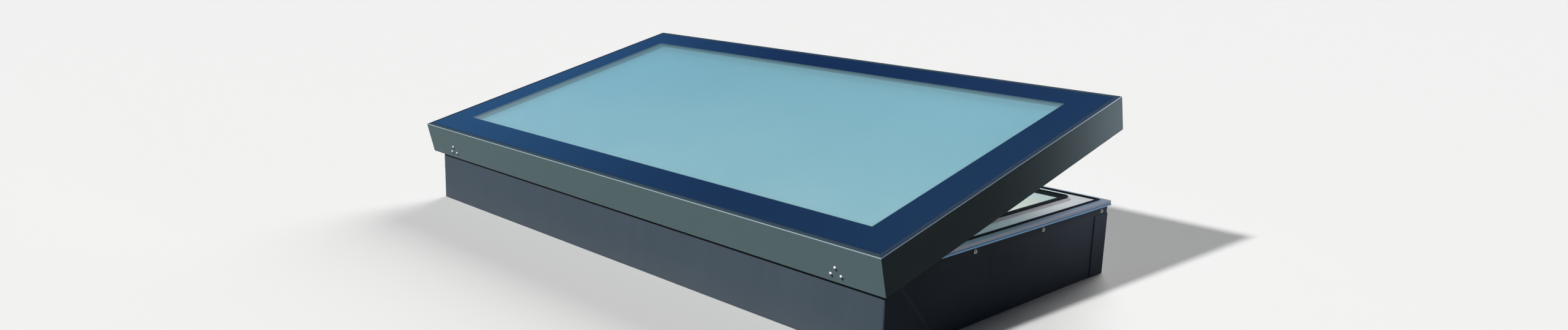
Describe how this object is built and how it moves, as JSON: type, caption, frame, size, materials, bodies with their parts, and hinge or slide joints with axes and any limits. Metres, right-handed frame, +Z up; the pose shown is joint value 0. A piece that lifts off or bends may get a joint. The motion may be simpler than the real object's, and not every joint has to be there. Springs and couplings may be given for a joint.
{
  "type": "roof skylight",
  "caption": "Flat-glass roof skylight on an insulated kerb, hinged along one long side and standing open on a chain actuator.",
  "frame": {"origin": "middle of the underside of the kerb wall on the hinge side", "axes": "+X along the hinge, +Y from the hinge side to the opening side, +Z up"},
  "size_m": [2.32, 1.2435, 0.6108],
  "materials": {
    "kerb_timber": "sawn structural timber",
    "insulation_board": "rigid foam",
    "reveal_paint": "painted, satin",
    "roofing_membrane": "matt",
    "frame_plastic": "satin",
    "edge_aluminium": "mill finish",
    "gasket_rubber": "matt",
    "fixing_steel": "zinc plated",
    "skirt_coating": "powder coated",
    "sash_aluminium": "anodised",
    "clear_glass": "polished",
    "opal_glass": "laminated",
    "edge_sealant": "matt",
    "spacer_bar": "satin",
    "hinge_steel": "zinc plated",
    "rivet_metal": "bright",
    "actuator_case": "anodised",
    "actuator_caps": "satin",
    "bracket_steel": "zinc plated",
    "chain_steel": "plain"
  },
  "bodies": {
    "kerb": {"kerb_wall_front": "kerb_timber", "kerb_wall_right": "kerb_timber", "kerb_wall_back": "kerb_timber", "kerb_wall_left": "kerb_timber", "kerb_insulation_front": "insulation_board", "kerb_insulation_right": "insulation_board", "kerb_insulation_back": "insulation_board", "kerb_insulation_left": "insulation_board", "reveal_lining_front": "reveal_paint", "reveal_lining_right": "reveal_paint", "reveal_lining_back": "reveal_paint", "reveal_lining_left": "reveal_paint", "kerb_membrane": "roofing_membrane", "membrane_lap": "roofing_membrane", "frame_front": "frame_plastic", "frame_right": "frame_plastic", "frame_back": "frame_plastic", "frame_left": "frame_plastic", "inner_lip": "frame_plastic", "edge_profile_front": "edge_aluminium", "edge_profile_right": "edge_aluminium", "edge_profile_back": "edge_aluminium", "edge_profile_left": "edge_aluminium", "outer_gasket": "gasket_rubber", "inner_gasket": "gasket_rubber", "kerb_screws": "fixing_steel", "hinge_screws": "fixing_steel", "bracket_screws": "fixing_steel", "hinge_pins": "fixing_steel", "actuator_pins": "fixing_steel", "hinge_fixed_leaf_left": "hinge_steel", "hinge_fixed_leaf_right": "hinge_steel", "actuator_bracket_left": "bracket_steel", "actuator_bracket_right": "bracket_steel"},
    "lid": {"skirt_front": "skirt_coating", "skirt_right": "skirt_coating", "skirt_back": "skirt_coating", "skirt_left": "skirt_coating", "sash_front": "sash_aluminium", "sash_right": "sash_aluminium", "sash_back": "sash_aluminium", "sash_left": "sash_aluminium", "sash_cleats": "sash_aluminium", "outer_pane": "clear_glass", "inner_pane": "opal_glass", "glass_edge_seal": "edge_sealant", "glass_spacer": "spacer_bar", "glazing_tape": "edge_sealant", "weather_joint": "edge_sealant", "hinge_moving_leaf_left": "hinge_steel", "hinge_moving_leaf_right": "hinge_steel", "rivets": "rivet_metal", "lid_bracket": "bracket_steel", "lid_bracket_pin": "fixing_steel", "lid_bracket_screws": "fixing_steel"},
    "actuator": {"actuator_housing": "actuator_case", "actuator_end_cap_left": "actuator_caps", "actuator_end_cap_right": "actuator_caps", "chain": "chain_steel", "cable_gland": "actuator_caps"}
  },
  "joints": [
    {"name": "lid_hinge", "type": "hinge", "parent": "kerb", "child": "lid", "pos_m": [0, -0.024, 0.202], "axis": [1, 0, 0], "range_deg": [-14.5, 0], "deforming": ["chain"]},
    {"name": "actuator_swivel", "type": "hinge", "parent": "kerb", "child": "actuator", "pos_m": [0, 1.0235, 0.2], "axis": [1, 0, 0], "range_deg": [-8.7, 0.1]}
  ],
  "couplings": [
    {"joint": "actuator_swivel", "follows": "lid_hinge", "ratio": 0.581}
  ]
}
